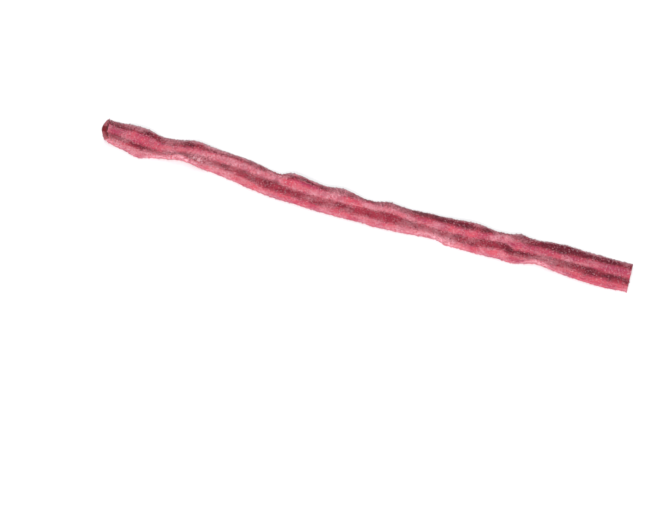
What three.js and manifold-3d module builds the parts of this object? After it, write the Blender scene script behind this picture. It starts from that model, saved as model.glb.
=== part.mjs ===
// A sugared candy belt: one flat ribbon, pulled from four strands of soft candy that lie side by side.
// It lies on a table in small waves: the far edge droops three times, and the near edge is folded up twice.
// Units are millimetres. +X runs along the belt, +Y to its far edge, +Z up.
// The origin is under the middle of the belt's box, on the table.

import * as THREE from 'three';
import { mergeVertices } from 'three/addons/utils/BufferGeometryUtils.js';
import Module from 'manifold-3d';

const wasm = await Module();
wasm.setup();

// The ribbon
const LENGTH = 240;
const WIDTH = 12.9;
const WIDTH_AT_END = 14.4;
const THICKNESS = 1.7;
const STRAND_GAP = 0.3;
const GROOVE = 0.22;
const CROWN = 0.07;
const EDGE_ROUND = 0.42;
const SHOULDER = 0.18;

// Turns in the belt's course: each is spread over its reach to both sides, in degrees, left is positive
const START_HEADING = 6;
const TURNS = [
  { at: 5, reach: 7, turn: -10.5 },
  { at: 18, reach: 9, turn: 14 },
  { at: 51.5, reach: 10, turn: -7 },
  { at: 64, reach: 13, turn: -14 },
  { at: 79.5, reach: 14, turn: 13 },
  { at: 94.5, reach: 20, turn: 5 },
  { at: 145, reach: 16, turn: -1 },
  { at: 184, reach: 12, turn: 4.5 },
  { at: 197.5, reach: 9, turn: 9.5 },
  { at: 200.5, reach: 10, turn: -13 },
  { at: 231, reach: 12, turn: 2 },
];

// Bends across the belt, in degrees: roll tips the whole width, far edge up;
// near and far turn up the outer part along that edge, or let it droop
const BENDS = [
  { name: 'tip', at: 0, before: 16, after: 11.5, roll: -3, near: 31, far: -6 },
  { name: 'shoulder', at: 17, before: 18.5, after: 11.5, roll: 17.5, near: 8, far: -2 },
  { name: 'hump', at: 43.5, before: 8, after: 14, roll: 14, near: 3, far: 17 },
  { name: 'ease', at: 63.5, before: 15, after: 18.5, roll: 5.5, near: 4, far: -12 },
  { name: 'first_droop', at: 82.5, before: 19, after: 7.5, roll: 14.5, near: -1, far: -56 },
  { name: 'first_crest', at: 91.5, before: 10, after: 13.5, roll: 24.5, near: 4, far: 11 },
  { name: 'saddle', at: 103.5, before: 8, after: 10.5, roll: 12, near: -1, far: -16 },
  { name: 'small_crest', at: 115, before: 12, after: 9.5, roll: 19, near: -2, far: -14 },
  { name: 'second_droop', at: 123, before: 10.5, after: 11, roll: 11.5, near: 0, far: -60 },
  { name: 'second_crest', at: 134.5, before: 9, after: 10.5, roll: 13.5, near: -5, far: -19 },
  { name: 'near_lip', at: 152, before: 17, after: 13, roll: 13, near: -3, far: -27 },
  { name: 'swell', at: 170.5, before: 20, after: 13, roll: 17.5, near: 12, far: 1 },
  { name: 'third_droop', at: 186, before: 17, after: 4.5, roll: 16, near: -10, far: -57 },
  { name: 'third_crest', at: 192, before: 5.5, after: 10, roll: 14, near: 6, far: -4 },
  { name: 'end_cup', at: 214, before: 24, after: 22.5, roll: 0.5, near: 7, far: 21 },
];
const LIP_STARTS = 0.32;
const LIP_ENDS = 0.72;

// Folds: the near edge stands up. The crease leaves the edge at a corner and runs inwards, to a depth
// that is a share of the half width; beyond its place the edge lies down again
const FOLDS = [
  { name: 'waist_fold', at: 37, before: 24, after: 18.5, depth: 0.69, angle: 82 },
  { name: 'end_fold', at: 199.5, before: 14, after: 12.5, depth: 0.56, angle: 80 },
];
const FOLD_RAMP = 0.4;
const FOLD_RISE = 0.25;

// Where an edge stands out a little, or in, in millimetres
const NEAR_EDGE = [
  { name: 'corner', at: 19.5, before: 8, after: 4.5, out: 1.4 },
  { name: 'fold_start', at: 30, before: 9, after: 4, out: -0.8 },
  { name: 'fold_end', at: 45, before: 6, after: 9, out: 0.6 },
  { name: 'first_bulge', at: 66, before: 14, after: 18, out: 0.9 },
  { name: 'second_bulge', at: 112, before: 16, after: 22, out: 0.4 },
  { name: 'third_bulge', at: 134, before: 12, after: 8, out: 0.55 },
  { name: 'hollow', at: 150, before: 12, after: 8, out: -1.1 },
  { name: 'hollow_end', at: 157.5, before: 8, after: 6, out: -1.5 },
  { name: 'pinch', at: 198, before: 7, after: 8, out: -0.9 },
  { name: 'belly', at: 227.5, before: 18.5, after: 24, out: 1.4 },
];
const FAR_EDGE = [
  { name: 'tip', at: 7, before: 8, after: 5, out: 0.4 },
  { name: 'waist', at: 36, before: 10, after: 8, out: 1.2 },
  { name: 'back', at: 48, before: 5, after: 30, out: -0.65 },
  { name: 'crest', at: 84, before: 7, after: 9, out: 0.4 },
  { name: 'saddle', at: 118, before: 7, after: 5, out: -1.1 },
  { name: 'slump', at: 137, before: 6, after: 9, out: -0.5 },
  { name: 'ridge', at: 191, before: 7, after: 5, out: 0.45 },
  { name: 'rise', at: 206, before: 9, after: 12, out: 0.55 },
];

// Seams between the strands, as shares of the half width, and how they drift:
// [how far along the belt, by how much towards the far edge]
const SEAM_REACH = 18;
const SEAMS = {
  near: { at: -0.58, drifts: [[6, -0.11], [114, -0.06], [150, 0.08], [186, 0.16], [240, -0.08]] },
  middle: {
    at: -0.06,
    drifts: [[6, -0.16], [24, -0.22], [42, 0.09], [78, 0.07], [132, 0.2], [186, 0.1], [240, -0.13]],
  },
  far: { at: 0.51, drifts: [[96, 0.12], [150, -0.07], [168, -0.07], [222, -0.07]] },
};

// The tip curls up off the table a little, and neither end is cut square;
// the cut through the tip also slants, so that the top is set back from the underside
const TIP_CURL = 4;
const TIP_CURL_REACH = 9;
const TIP_CUT = { skew: -2.5, bulge: 2.4, point: 1.4, bevel: 2.9, bevelFade: 0.6 };
const END_CUT = { skew: -0.1 };
const CUT_REACH = 12;

// Small unevenness from pulling and cutting
const SEAM_WANDER = 0.16;
const EDGE_WANDER = 0.14;
const THICKNESS_WANDER = 0.06;
const SETTLE = 0.1;

// Sugar grains fused to each strand
const GRAINS_PER_STRAND = 43;
const GRAIN_MIN = 0.62;
const GRAIN_MAX = 1.05;
const GRAIN_SUNK = 0.12;
const GRAIN_BITE = 0.3;
const GRAIN_SHAPE = [1, 0.85, 0.75];
const GRAIN_SPREAD = 0.44;
const GRAIN_MARGIN = 5;
const GOLDEN = 0.618034;
const SEED = 20417;

// How finely the solids are divided
const STEP_STRAIGHT = 3.4;
const STEP_BENT = 1.8;
const BENT_RATE = 9;
const BENT_SHARES = [-0.9, -0.5, 0, 0.8];
const COURSE_STEP = 0.25;
const COURSE_MARGIN = 6;
const SECTION_STEPS = 48;
const NUDGE = 0.05;
const PLAIN = { under: [SHOULDER, 1 - SHOULDER], top: [1 - SHOULDER, 0.5, SHOULDER] };
const FINE = { under: [SHOULDER, 0.5, 1 - SHOULDER], top: [1 - SHOULDER, 0.66, 0.5, 0.34, SHOULDER] };

const rad = THREE.MathUtils.degToRad;

// Strands from the near edge to the far edge; those that fold are divided more finely across
const PINK = '#d9657c';
const DARK = '#7b3142';
const STRANDS = [
  { name: 'strand_pink_near', from: 'near_edge', to: 'near', shares: FINE, folds: true, color: PINK },
  { name: 'strand_dark_near', from: 'near', to: 'middle', shares: FINE, folds: true, color: DARK },
  { name: 'strand_pink_far', from: 'middle', to: 'far', shares: PLAIN, folds: false, color: PINK },
  { name: 'strand_dark_far', from: 'far', to: 'far_edge', shares: PLAIN, folds: false, color: DARK },
];

function smooth(x) {
  const t = THREE.MathUtils.clamp(x, 0, 1);
  return t * t * (3 - 2 * t);
}

function swell(s, bend) {
  const d = s < bend.at ? (bend.at - s) / bend.before : (s - bend.at) / bend.after;
  return 0.5 * (1 + Math.cos(Math.PI * Math.min(d, 1)));
}

// A slow wave with no repeat that the eye finds; each number gives another one
function wander(s, number) {
  const a = Math.sin(s / 5.3 + 1.7 * number);
  const b = Math.sin(s / 2.3 + 2.9 * number + 0.6);
  return 0.65 * a + 0.35 * b;
}

function lipShare(u) {
  return smooth((u - LIP_STARTS) / (LIP_ENDS - LIP_STARTS));
}

function halfWidth(s) {
  const growth = smooth((s / LENGTH - 0.5) / 0.5);
  return (WIDTH + (WIDTH_AT_END - WIDTH) * growth) / 2;
}

// How steep the belt is across, in degrees, at each share u of its half width
function slopesAt(s) {
  const sum = { roll: 0, near: 0, far: 0 };
  for (const bend of BENDS) {
    const share = swell(s, bend);
    sum.roll += bend.roll * share;
    sum.near += bend.near * share;
    sum.far += bend.far * share;
  }
  const folds = FOLDS.map(({ at, before, after, depth, angle }) => {
    const grown = THREE.MathUtils.clamp((s - at + before) / before, 0, 1);
    const held = smooth(grown / FOLD_RISE) * smooth((at + after - s) / after);
    return { crease: 1 - depth * grown, angle: angle * held };
  });
  return (u) => {
    const lips = sum.far * lipShare(u) - sum.near * lipShare(-u);
    const standing = folds.map(({ crease, angle }) => angle * smooth((-u - crease) / FOLD_RAMP));
    return sum.roll + lips - standing.reduce((a, b) => a + b, 0);
  };
}

// The course of the middle line, integrated once in small steps
function makeCourse() {
  const course = [];
  const point = new THREE.Vector3();
  for (let s = -COURSE_MARGIN; s <= LENGTH + COURSE_MARGIN; s += COURSE_STEP) {
    let heading = START_HEADING;
    for (const { at, reach, turn } of TURNS) {
      heading += turn * smooth((s - at + reach) / (2 * reach));
    }
    const climb = rad(TIP_CURL * smooth(1 - s / TIP_CURL_REACH));
    const h = rad(heading);
    const forward = new THREE.Vector3(
      Math.cos(h) * Math.cos(climb),
      Math.sin(h) * Math.cos(climb),
      -Math.sin(climb),
    );
    course.push({ point: point.clone(), heading: h });
    point.addScaledVector(forward, COURSE_STEP);
  }
  return course;
}

const COURSE = makeCourse();

function courseAt(s) {
  const place = (s + COURSE_MARGIN) / COURSE_STEP;
  const i = THREE.MathUtils.clamp(Math.floor(place), 0, COURSE.length - 2);
  const point = COURSE[i].point.clone().lerp(COURSE[i + 1].point, place - i);
  return { point, heading: THREE.MathUtils.lerp(COURSE[i].heading, COURSE[i + 1].heading, place - i) };
}

// The straight line between the two ends lies along X, with its middle at the origin
const START = courseAt(0).point;
const END = courseAt(LENGTH).point;
const CHORD_TURN = Math.atan2(END.y - START.y, END.x - START.x);

function toChord(point) {
  const middle = START.clone().add(END).multiplyScalar(0.5);
  point.sub(middle.setZ(END.z));
  return point.applyAxisAngle(new THREE.Vector3(0, 0, 1), -CHORD_TURN);
}

// The section across the belt at s, from the slope at each share of its half width:
// how far each point is from the middle line, and how high above the section's lowest point.
// What an edge stands out by widens the outer half of its side.
function sectionAt(s) {
  const slopeAt = slopesAt(s);
  const step = halfWidth(s) / SECTION_STEPS;
  const standOut = (edge) => edge.reduce((sum, place) => sum + place.out * swell(s, place), 0);
  const nearStep = step + standOut(NEAR_EDGE) / (SECTION_STEPS / 2);
  const farStep = step + standOut(FAR_EDGE) / (SECTION_STEPS / 2);
  const points = [{ out: 0, up: 0 }];
  for (let i = 0; i < 2 * SECTION_STEPS; i += 1) {
    const u = (i + 0.5) / SECTION_STEPS - 1;
    const slope = rad(slopeAt(u));
    const inner = u > -0.5 && u < 0.5;
    const outer = u < 0 ? nearStep : farStep;
    const length = inner ? step : outer;
    const last = points[i];
    points.push({ out: last.out + length * Math.cos(slope), up: last.up + length * Math.sin(slope) });
  }
  const middle = points[SECTION_STEPS].out;
  const lowest = Math.min(...points.map((p) => p.up));
  return points.map((p) => ({ out: p.out - middle, up: p.up - lowest }));
}

// How far the cuts move a point along the belt; height runs from -1 at the underside to 1 at the top
function cutShift(s, u, height) {
  const { skew, bulge, point, bevel, bevelFade } = TIP_CUT;
  const outline = skew * u + bulge * (Math.abs(u) ** point - 1);
  const setBack = bevel * (1 - bevelFade * u * u) * Math.max(height, 0);
  const tip = (outline + setBack) * smooth(1 - s / CUT_REACH);
  return tip + END_CUT.skew * u * smooth(1 - (LENGTH - s) / CUT_REACH);
}

// A point of the belt's middle surface: how far along it, and u across it from -1 at the near edge to 1
function middleSurface(along, u) {
  const { point, heading } = courseAt(along);
  const section = sectionAt(along);
  const place = THREE.MathUtils.clamp((u + 1) * SECTION_STEPS, 0, 2 * SECTION_STEPS);
  const i = Math.min(Math.floor(place), 2 * SECTION_STEPS - 1);
  const beyond = (u + 1) * SECTION_STEPS - i;
  const out = THREE.MathUtils.lerp(section[i].out, section[i + 1].out, beyond);
  const up = THREE.MathUtils.lerp(section[i].up, section[i + 1].up, beyond);
  point.x -= Math.sin(heading) * out;
  point.y += Math.cos(heading) * out;
  point.z += up;
  return toChord(point);
}

function surfaceNormal(along, u) {
  const onward = middleSurface(along + NUDGE, u).sub(middleSurface(along - NUDGE, u));
  const across = middleSurface(along, u + NUDGE / 2).sub(middleSurface(along, u - NUDGE / 2));
  return onward.cross(across).normalize();
}

// A point of the belt's body at station s
function bodyPoint(s, u, height) {
  const along = s + cutShift(s, u, height);
  const uneven = 1 + THICKNESS_WANDER * wander(s, 7 + 2 * u);
  const offset = height * (THICKNESS / 2) * (height > 0 ? uneven : 1);
  return middleSurface(along, u).addScaledVector(surfaceNormal(along, u), offset);
}

// Where an edge of the belt or a seam runs, as a share of the half width;
// a strand keeps half of the gap between strands clear on each side
function lineAt(name, s, inward) {
  const half = halfWidth(s);
  if (name === 'near_edge' || name === 'far_edge') {
    const side = name === 'far_edge' ? 1 : -1;
    return side + (EDGE_WANDER * wander(s, 3 * side)) / half;
  }
  const { at, drifts } = SEAMS[name];
  const drift = drifts.reduce((sum, [place, shift]) => (
    sum + shift * swell(s, { at: place, before: SEAM_REACH, after: SEAM_REACH })
  ), 0);
  return at + drift + (SEAM_WANDER * wander(s, 10 * at) + (inward * STRAND_GAP) / 2) / half;
}

// The outline of a strand's section: a share across the strand, and a height from -1 to 1.
// Sides on a seam are upright below a shallow groove, and the belt's own edges are round.
function strandOutline({ from, to, shares }) {
  const seam = 1 - (2 * GROOVE) / THICKNESS;
  const fromHeight = from === 'near_edge' ? EDGE_ROUND : seam;
  const toHeight = to === 'far_edge' ? EDGE_ROUND : seam;
  const crowned = (across) => 1 - CROWN * ((across - 0.5) / (0.5 - SHOULDER)) ** 2;
  return [
    { across: 0, height: -fromHeight },
    ...shares.under.map((across) => ({ across, height: -1 })),
    { across: 1, height: -toHeight },
    { across: 1, height: toHeight },
    ...shares.top.map((across) => ({ across, height: crowned(across) })),
    { across: 0, height: fromHeight },
  ];
}

// Stations stand closer together where the belt's bends change quickly
function makeStations() {
  const stations = [0];
  let s = 0;
  while (s < LENGTH - STEP_STRAIGHT) {
    const here = slopesAt(s);
    const ahead = slopesAt(s + STEP_BENT);
    const change = Math.max(...BENT_SHARES.map((u) => Math.abs(ahead(u) - here(u))));
    const bent = Math.min(change / STEP_BENT / BENT_RATE, 1);
    s += THREE.MathUtils.lerp(STEP_STRAIGHT, STEP_BENT, bent);
    stations.push(Math.min(s, LENGTH));
  }
  if (LENGTH - stations.at(-1) < STEP_BENT / 2) {
    stations.pop();
  }
  stations.push(LENGTH);
  return stations;
}

const STATIONS = makeStations();

// The underside is soft and settles flat where it all but touches the table
function settled(z, floor) {
  return z - floor < SETTLE ? floor : z;
}

function ringAt(strand, s) {
  const from = lineAt(strand.from, s, 1);
  const to = lineAt(strand.to, s, -1);
  return strandOutline(strand).map(({ across, height }) => {
    const u = THREE.MathUtils.lerp(from, to, across);
    return bodyPoint(s, u, height);
  });
}

const ALL_RINGS = STRANDS.map((strand) => STATIONS.map((s) => ringAt(strand, s)));
const BOX = new THREE.Box3().setFromPoints(ALL_RINGS.flat(2));
const BOX_MIDDLE = BOX.getCenter(new THREE.Vector3());
const FLOOR = BOX.min.z;

// One strand as a closed band of rings with a flat cap at each cut end
function strandGeometry(rings) {
  const size = rings[0].length;
  const positions = rings.flat().flatMap((p) => [
    p.x - BOX_MIDDLE.x,
    p.y - BOX_MIDDLE.y,
    settled(p.z, FLOOR) - FLOOR,
  ]);
  const index = [];
  for (let i = 0; i < rings.length - 1; i += 1) {
    for (let k = 0; k < size; k += 1) {
      const a = i * size + k;
      const b = i * size + ((k + 1) % size);
      index.push(a, b, b + size, a, b + size, a + size);
    }
  }
  const last = (rings.length - 1) * size;
  for (let k = 1; k < size - 1; k += 1) {
    index.push(0, k + 1, k, last, last + k, last + k + 1);
  }
  const geometry = new THREE.BufferGeometry();
  geometry.setAttribute('position', new THREE.Float32BufferAttribute(positions, 3));
  geometry.setIndex(index);
  return geometry;
}

// A small seeded generator, so that the grains fall the same way each time
function makeRandom(seed) {
  let state = seed;
  return () => {
    state = (state + 0x6d2b79f5) | 0;
    let t = Math.imul(state ^ (state >>> 15), 1 | state);
    t = (t + Math.imul(t ^ (t >>> 7), 61 | t)) ^ t;
    return ((t ^ (t >>> 14)) >>> 0) / 2 ** 32;
  };
}

// A place on a strand's faceted top: s along the belt, across between the two shoulders of its crown
function topPlace(rings, { under, top }, s, across) {
  const i = STATIONS.findIndex((station) => station > s) - 1;
  const part = (s - STATIONS[i]) / (STATIONS[i + 1] - STATIONS[i]);
  const k = top.findIndex((share) => share < across) - 1;
  const beyond = (top[k] - across) / (top[k] - top[k + 1]);
  const first = under.length + 3;
  const onRing = (ring) => ring[first + k].clone().lerp(ring[first + k + 1], beyond);
  const [here, next] = [rings[i], rings[i + 1]];
  const point = onRing(here).lerp(onRing(next), part);
  const onward = onRing(next).sub(onRing(here));
  const over = here[first + k].clone().sub(here[first + k + 1]);
  return { point, normal: onward.cross(over).normalize() };
}

// Inside a fold there is no room for coarse grains
function insideFold(s) {
  return FOLDS.some(({ at, before, after }) => s > at - before && s < at + after);
}

// One sugar grain: a small blunt crystal, half sunk in the candy
function grainGeometry(size, place, random) {
  const geometry = new THREE.IcosahedronGeometry(size / 2, 0);
  const turn = new THREE.Euler(random() * Math.PI, random() * Math.PI, random() * Math.PI);
  const centre = place.point.addScaledVector(place.normal, size / 2 - GRAIN_SUNK - GRAIN_BITE * size);
  const matrix = new THREE.Matrix4().compose(
    new THREE.Vector3(centre.x - BOX_MIDDLE.x, centre.y - BOX_MIDDLE.y, centre.z - FLOOR),
    new THREE.Quaternion().setFromEuler(turn),
    new THREE.Vector3(...GRAIN_SHAPE),
  );
  return geometry.applyMatrix4(matrix);
}

// Grains for one strand, the largest first, spread along it by steps of the golden ratio
function grainsFor(strand, rings, number) {
  const random = makeRandom(SEED + number);
  const start = random();
  const grains = [];
  for (let n = 0; n < GRAINS_PER_STRAND; n += 1) {
    const share = (start + n * GOLDEN) % 1;
    const s = GRAIN_MARGIN + share * (LENGTH - 2 * GRAIN_MARGIN);
    const across = 0.5 + (random() - 0.5) * GRAIN_SPREAD;
    const size = THREE.MathUtils.lerp(GRAIN_MAX, GRAIN_MIN, n / GRAINS_PER_STRAND);
    if (!(strand.folds && insideFold(s))) {
      grains.push(grainGeometry(size, topPlace(rings, strand.shares, s, across), random));
    }
  }
  return grains;
}

function toSolid(geometry) {
  const bare = geometry.clone();
  bare.deleteAttribute('normal');
  bare.deleteAttribute('uv');
  const merged = mergeVertices(bare);
  return new wasm.Manifold(new wasm.Mesh({
    numProp: 3,
    vertProperties: merged.attributes.position.array,
    triVerts: new Uint32Array(merged.index.array),
  }));
}

function toGeometry(solid) {
  const mesh = solid.getMesh();
  const geometry = new THREE.BufferGeometry();
  geometry.setAttribute('position', new THREE.BufferAttribute(mesh.vertProperties, 3));
  geometry.setIndex(new THREE.BufferAttribute(mesh.triVerts, 1));
  geometry.computeVertexNormals();
  return geometry;
}

function makeStrand(strand, number) {
  const rings = ALL_RINGS[number];
  const body = toSolid(strandGeometry(rings));
  const grains = grainsFor(strand, rings, number);
  const sugared = grains.reduce((solid, grain) => solid.add(toSolid(grain)), body);
  const material = new THREE.MeshStandardMaterial({ color: strand.color, roughness: 0.62, metalness: 0 });
  const mesh = new THREE.Mesh(toGeometry(sugared), material);
  mesh.name = strand.name;
  return mesh;
}

const belt = new THREE.Group();
STRANDS.forEach((strand, number) => belt.add(makeStrand(strand, number)));

export default belt;
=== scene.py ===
# %% [markdown]
# A sugared candy belt
#
# A sour candy belt is pulled as one flat ribbon from four strands of soft candy, two dark and two pink,
# which fuse side by side. Then it is tumbled in sugar and cut to length. This lesson builds the ribbon
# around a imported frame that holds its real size, and adds the sugar as loose grains. The first cell loads
# that frame and notes its box, because the finished belt has to keep that size.

# %% Load the frame
import math

import bpy
import numpy as np
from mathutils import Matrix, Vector, noise


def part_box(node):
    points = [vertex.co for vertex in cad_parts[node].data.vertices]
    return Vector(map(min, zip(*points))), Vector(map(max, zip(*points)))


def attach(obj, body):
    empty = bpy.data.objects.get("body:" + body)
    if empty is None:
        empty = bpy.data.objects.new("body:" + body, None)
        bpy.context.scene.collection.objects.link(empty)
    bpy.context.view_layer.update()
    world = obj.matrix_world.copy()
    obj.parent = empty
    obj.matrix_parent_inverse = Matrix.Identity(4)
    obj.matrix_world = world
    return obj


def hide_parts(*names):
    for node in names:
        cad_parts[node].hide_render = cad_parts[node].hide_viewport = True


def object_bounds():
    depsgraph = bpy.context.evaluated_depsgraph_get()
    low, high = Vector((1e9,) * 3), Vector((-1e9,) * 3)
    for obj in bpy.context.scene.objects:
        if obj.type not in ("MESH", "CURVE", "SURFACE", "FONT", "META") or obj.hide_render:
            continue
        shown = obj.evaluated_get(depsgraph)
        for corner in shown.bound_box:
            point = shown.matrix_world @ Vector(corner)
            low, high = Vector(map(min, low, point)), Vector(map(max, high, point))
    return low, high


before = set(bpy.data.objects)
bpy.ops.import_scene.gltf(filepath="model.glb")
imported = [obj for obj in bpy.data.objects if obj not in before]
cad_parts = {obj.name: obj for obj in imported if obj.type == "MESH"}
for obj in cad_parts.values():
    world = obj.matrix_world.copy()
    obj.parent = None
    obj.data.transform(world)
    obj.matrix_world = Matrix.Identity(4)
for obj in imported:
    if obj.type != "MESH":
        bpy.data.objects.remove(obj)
frame_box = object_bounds()
MM = 0.001
low_corner = np.array(frame_box[0]) / MM
high_corner = np.array(frame_box[1]) / MM
print("frame box in mm", np.round(low_corner, 2), np.round(high_corner, 2))

# %% [markdown]
# The camera
#
# The belt is seen from its near side, half from above, with a long lens that hardly narrows the far end.
# The camera's foot is the point on the table under it. From there the belt's middle is a little to the
# right and half a metre away, and the belt runs at an angle to the picture. Placing the camera by these
# real distances keeps the view true without any shift of the lens.

# %% Camera
CAMERA_TURN = math.radians(20.3)
CAMERA_DOWN = math.radians(51)
CAMERA_HEIGHT = 592.5 * MM
BELT_TO_THE_RIGHT = 12.557 * MM
BELT_AWAY = 510.283 * MM
LENS = 100
SENSOR = 36


def new_object(name, data):
    thing = bpy.data.objects.new(name, data)
    bpy.context.scene.collection.objects.link(thing)
    return thing


def make_camera():
    to_the_right = np.array([math.cos(CAMERA_TURN), math.sin(CAMERA_TURN), 0])
    away = np.array([-math.sin(CAMERA_TURN), math.cos(CAMERA_TURN), 0])
    place = -BELT_TO_THE_RIGHT * to_the_right - BELT_AWAY * away
    camera = new_object("camera", bpy.data.cameras.new("camera"))
    camera.data.lens = LENS
    camera.data.sensor_width = SENSOR
    camera.data.clip_start = 10 * MM
    camera.location = (place[0], place[1], CAMERA_HEIGHT)
    camera.rotation_euler = (math.pi / 2 - CAMERA_DOWN, 0, CAMERA_TURN)
    bpy.context.scene.camera = camera
    return camera


camera = make_camera()
print("camera at", [round(c, 4) for c in camera.location])

# %% [markdown]
# Table and light
#
# The belt lies on a plain, nearly white table. The main lamp is large and stands behind the viewer,
# since the parts of the belt that tip towards the viewer are the brightest. A small one from the far
# left lets the grains sparkle, and the sky fills the shadows. All of it is bright enough to turn the
# table white, as in a product picture. The Standard view keeps strong pinks as they are, where the
# film-like default would wash them out.

# %% Table and light
TABLE_SIZE = 6
TABLE_COLOUR = (0.86, 0.86, 0.87, 1)
TABLE_ROUGHNESS = 0.7
SKY_LIGHT = 0.65
# name, place in metres, size in metres, watts
LAMPS = [
    ("lamp_behind_viewer", (0.3, -0.95, 0.95), 0.9, 20),
    ("lamp_far_left", (-0.5, 0.7, 0.6), 0.3, 2),
]


def make_table():
    bpy.ops.mesh.primitive_plane_add(size=TABLE_SIZE)
    table = bpy.context.object
    table.name = "table"
    material = bpy.data.materials.new("pale_table")
    material.use_nodes = True
    shader = material.node_tree.nodes["Principled BSDF"]
    shader.inputs["Base Color"].default_value = TABLE_COLOUR
    shader.inputs["Roughness"].default_value = TABLE_ROUGHNESS
    table.data.materials.append(material)


def make_lamp(name, place, size, watts):
    lamp = new_object(name, bpy.data.lights.new(name, "AREA"))
    lamp.data.shape = "DISK"
    lamp.data.size = size
    lamp.data.energy = watts
    lamp.location = place
    lamp.rotation_euler = (-Vector(place)).to_track_quat("-Z", "Y").to_euler()


make_table()
for lamp_values in LAMPS:
    make_lamp(*lamp_values)
world = bpy.data.worlds.new("soft_sky")
world.use_nodes = True
world.node_tree.nodes["Background"].inputs["Color"].default_value = (1, 1, 1, 1)
world.node_tree.nodes["Background"].inputs["Strength"].default_value = SKY_LIGHT
bpy.context.scene.world = world
bpy.context.scene.view_settings.view_transform = "Standard"
print("sky at", SKY_LIGHT, "of full white")

# %% [markdown]
# The belt's sizes
#
# The belt starts from a few sizes: how long and wide it is, how thick it is with its sugar, how deep the
# sugar coat is, and how far the seams and edges wander. They are written in millimetres, since that is how
# a sweet maker measures, and turned into metres only when a mesh is made.

# %% Sizes in millimetres
LENGTH = 240
WIDTH = 12.9
WIDTH_AT_END = 14.4
WIDENS_FROM = 0.5
THICKNESS = 1.7
COAT = 0.07
SEAM_WANDER = 0.16
EDGE_WANDER = 0.14
THICKNESS_WANDER = 0.06
# two waves added up: millimetres to a radian, radians for each number, radians at the start, and share
WAVES = [(5.3, 1.7, 0, 0.65), (2.3, 2.9, 0.6, 0.35)]


def smooth(x):
    """Goes from 0 to 1 as x does, and starts and ends gently."""
    t = np.clip(x, 0, 1)
    return t * t * (3 - 2 * t)


def swell(s, at, before, after):
    """Grows to 1 at one place and fades to both sides of it."""
    distance = np.where(s < at, (at - s) / before, (s - at) / after)
    return 0.5 * (1 + np.cos(np.pi * np.clip(distance, 0, 1)))


def wander(s, number):
    """A slow wave with no repeat that the eye finds; each number gives another one."""
    return sum(share * np.sin(s / reach + turn * number + start) for reach, turn, start, share in WAVES)


def half_width(s):
    growth = smooth((s / LENGTH - WIDENS_FROM) / (1 - WIDENS_FROM))
    return (WIDTH + (WIDTH_AT_END - WIDTH) * growth) / 2


print("half width at the ends", half_width(0), half_width(LENGTH))

# %% [markdown]
# The course
#
# A soft ribbon dropped on a table never lies straight. Its middle line is followed in small steps
# while its heading changes by a few gentle turns, and at the tip it also climbs off the table. Adding
# up many small steps is simpler and truer than drawing a curve, because the ribbon keeps its length
# whatever the turns are.

# %% Course of the middle line
# where along the belt, how far it is spread to both sides, and degrees to the left
START_HEADING = 6
TURNS = [
    (5, 7, -10.5),
    (18, 9, 14),
    (51.5, 10, -7),
    (64, 13, -14),
    (79.5, 14, 13),
    (94.5, 20, 5),
    (145, 16, -1),
    (184, 12, 4.5),
    (197.5, 9, 9.5),
    (200.5, 10, -13),
    (231, 12, 2),
]
TIP_CURL = 4
TIP_CURL_REACH = 9
STEP = 0.25
MARGIN = 6

along = np.arange(-MARGIN, LENGTH + MARGIN + STEP, STEP)


def follow_course(s):
    """The points of the middle line, and its heading in radians at each."""
    heading = np.full(len(s), float(START_HEADING))
    for at, reach, turn in TURNS:
        heading += turn * smooth((s - at + reach) / (2 * reach))
    climb = np.radians(TIP_CURL * smooth(1 - s / TIP_CURL_REACH))
    heading = np.radians(heading)
    flat = np.cos(climb)
    forward = np.stack([np.cos(heading) * flat, np.sin(heading) * flat, -np.sin(climb)], 1)
    points = np.concatenate([np.zeros((1, 3)), np.cumsum(forward[:-1] * STEP, axis=0)])
    return points, heading


course, heading = follow_course(along)
print("the course turns between", np.round(np.degrees([heading.min(), heading.max()]), 1), "degrees")

# %% [markdown]
# The bends across it
#
# Across its width the ribbon is seldom flat. In places the whole width tips, and along the far edge it
# droops to the table and crests again. Each bend is a swell that grows and fades along the belt. Where
# swells overlap they simply add up, so a long wavy shape can be told in a short list.

# %% Bends across the belt
# name, where it is, how far it reaches before and after, then degrees of tip, near lip and far lip
BENDS = [
    ("tip", 0, 16, 11.5, -3, 31, -6),
    ("shoulder", 17, 18.5, 11.5, 17.5, 8, -2),
    ("hump", 43.5, 8, 14, 14, 3, 17),
    ("ease", 63.5, 15, 18.5, 5.5, 4, -12),
    ("first_droop", 82.5, 19, 7.5, 14.5, -1, -56),
    ("first_crest", 91.5, 10, 13.5, 24.5, 4, 11),
    ("saddle", 103.5, 8, 10.5, 12, -1, -16),
    ("small_crest", 115, 12, 9.5, 19, -2, -14),
    ("second_droop", 123, 10.5, 11, 11.5, 0, -60),
    ("second_crest", 134.5, 9, 10.5, 13.5, -5, -19),
    ("near_lip", 152, 17, 13, 13, -3, -27),
    ("swell", 170.5, 20, 13, 17.5, 12, 1),
    ("third_droop", 186, 17, 4.5, 16, -10, -57),
    ("third_crest", 192, 5.5, 10, 14, 6, -4),
    ("end_cup", 214, 24, 22.5, 0.5, 7, 21),
]
LIP_STARTS = 0.32
LIP_ENDS = 0.72


def lip_share(u):
    """0 in the middle of the ribbon, and 1 on the lip along its edge."""
    return smooth((u - LIP_STARTS) / (LIP_ENDS - LIP_STARTS))


def bend_slopes(s, u):
    """Degrees that the ribbon rises towards its far edge, for each place s and share u."""
    tipped = near = far = 0
    for _, at, before, after, tip, near_lip, far_lip in BENDS:
        grown = swell(s, at, before, after)
        tipped = tipped + tip * grown
        near = near + near_lip * grown
        far = far + far_lip * grown
    return tipped[:, None] - near[:, None] * lip_share(-u) + far[:, None] * lip_share(u)


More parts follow.
